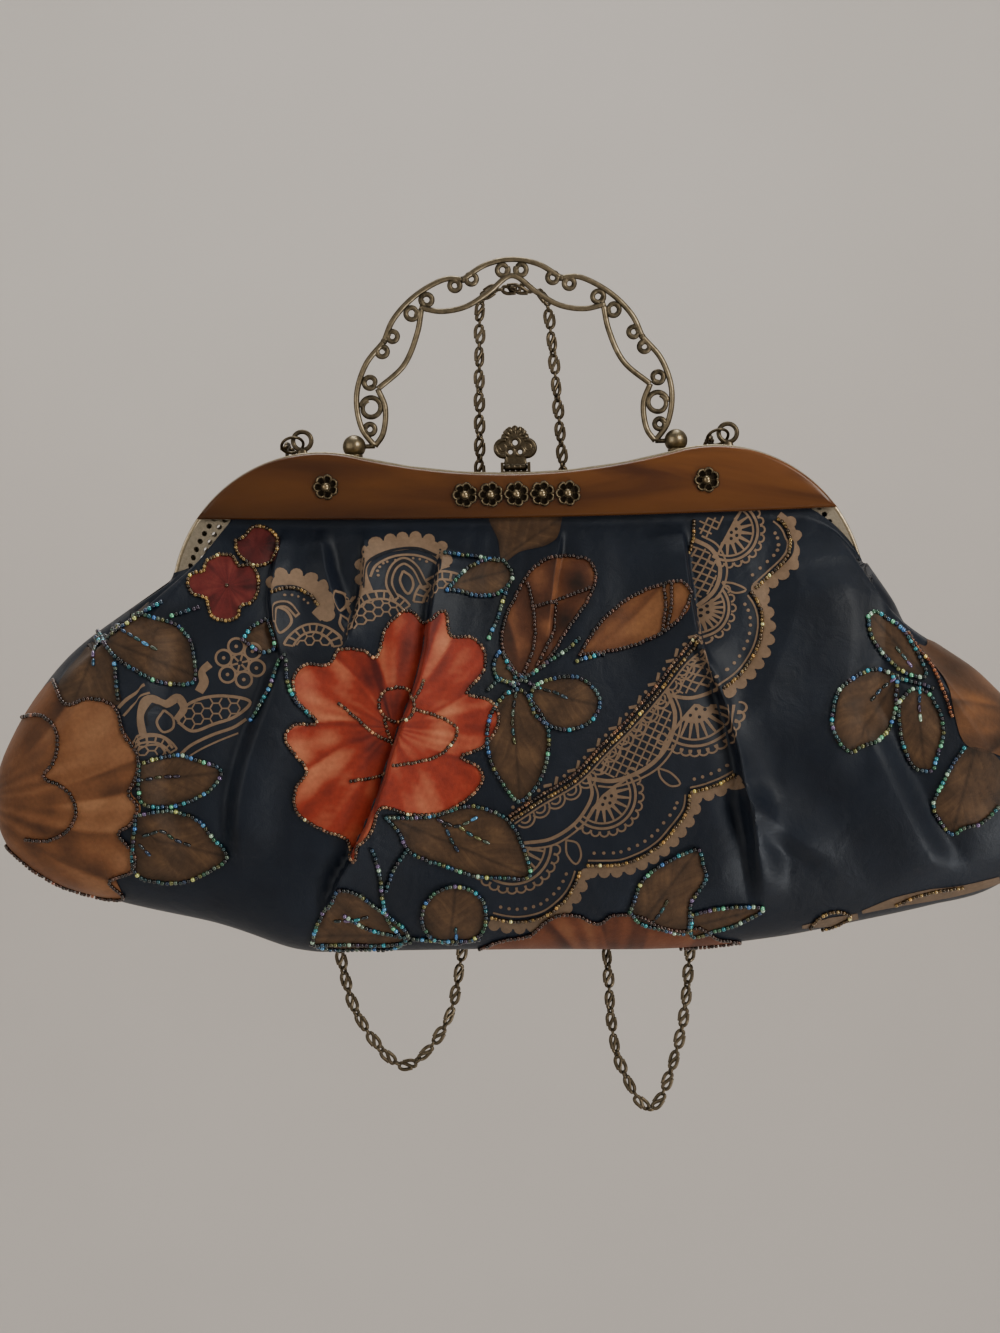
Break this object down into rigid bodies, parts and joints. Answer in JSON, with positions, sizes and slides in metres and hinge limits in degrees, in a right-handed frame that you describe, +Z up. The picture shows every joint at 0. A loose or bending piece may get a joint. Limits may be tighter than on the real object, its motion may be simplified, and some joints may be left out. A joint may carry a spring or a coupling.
{
  "type": "beaded clutch",
  "caption": "Gathered satin evening clutch on a hinged metal frame with resin panels, rosettes, a scroll handle, a clasp tab and a long chain; the bag is hollow.",
  "frame": {"origin": "the point under the middle of the handle where it hangs, in the handle's own plane", "axes": "+X to the right seen from the front, the front faces -Y, +Z up"},
  "size_m": [0.3217, 0.0558, 0.2686],
  "materials": {
    "pale_gold": "polished pale gold plating",
    "amber_resin": "glossy amber-brown resin with soft streaks",
    "rosette_bronze": "antiqued bronze, dark in the recesses",
    "antique_brass": "antiqued brass, worn bright on the edges",
    "dark_bronze": "dark antiqued bronze",
    "chain_bronze": "dark antiqued bronze links",
    "navy_satin": "navy satin with a floral and lace print, outlined in seed beads"
  },
  "bodies": {
    "bag": {"frame_front": "pale_gold", "frame_back": "pale_gold", "hinge_left": "pale_gold", "hinge_right": "pale_gold", "panel_front": "amber_resin", "panel_back": "amber_resin", "rosette_left": "rosette_bronze", "rosette_row_1": "rosette_bronze", "rosette_row_2": "rosette_bronze", "rosette_row_3": "rosette_bronze", "rosette_row_4": "rosette_bronze", "rosette_row_5": "rosette_bronze", "rosette_right": "rosette_bronze", "ball_lug_left": "antique_brass", "ball_lug_right": "antique_brass", "ear_left": "dark_bronze", "ear_right": "dark_bronze", "jump_ring_left": "dark_bronze", "jump_ring_right": "dark_bronze", "clasp_base": "dark_bronze", "chain_left": "chain_bronze", "chain_right": "chain_bronze", "cloth_front": "navy_satin", "cloth_back": "navy_satin"},
    "handle": {"handle": "antique_brass"},
    "clasp": {"clasp_tab": "dark_bronze"}
  },
  "joints": [
    {"name": "handle_swing", "type": "hinge", "parent": "bag", "child": "handle", "pos_m": [0, 0, -0.0469], "axis": [1, 0, 0], "range_deg": [0, 100]},
    {"name": "clasp_lever", "type": "hinge", "parent": "bag", "child": "clasp", "pos_m": [0, 0, -0.0542], "axis": [1, 0, 0], "range_deg": [-35, 0]}
  ]
}
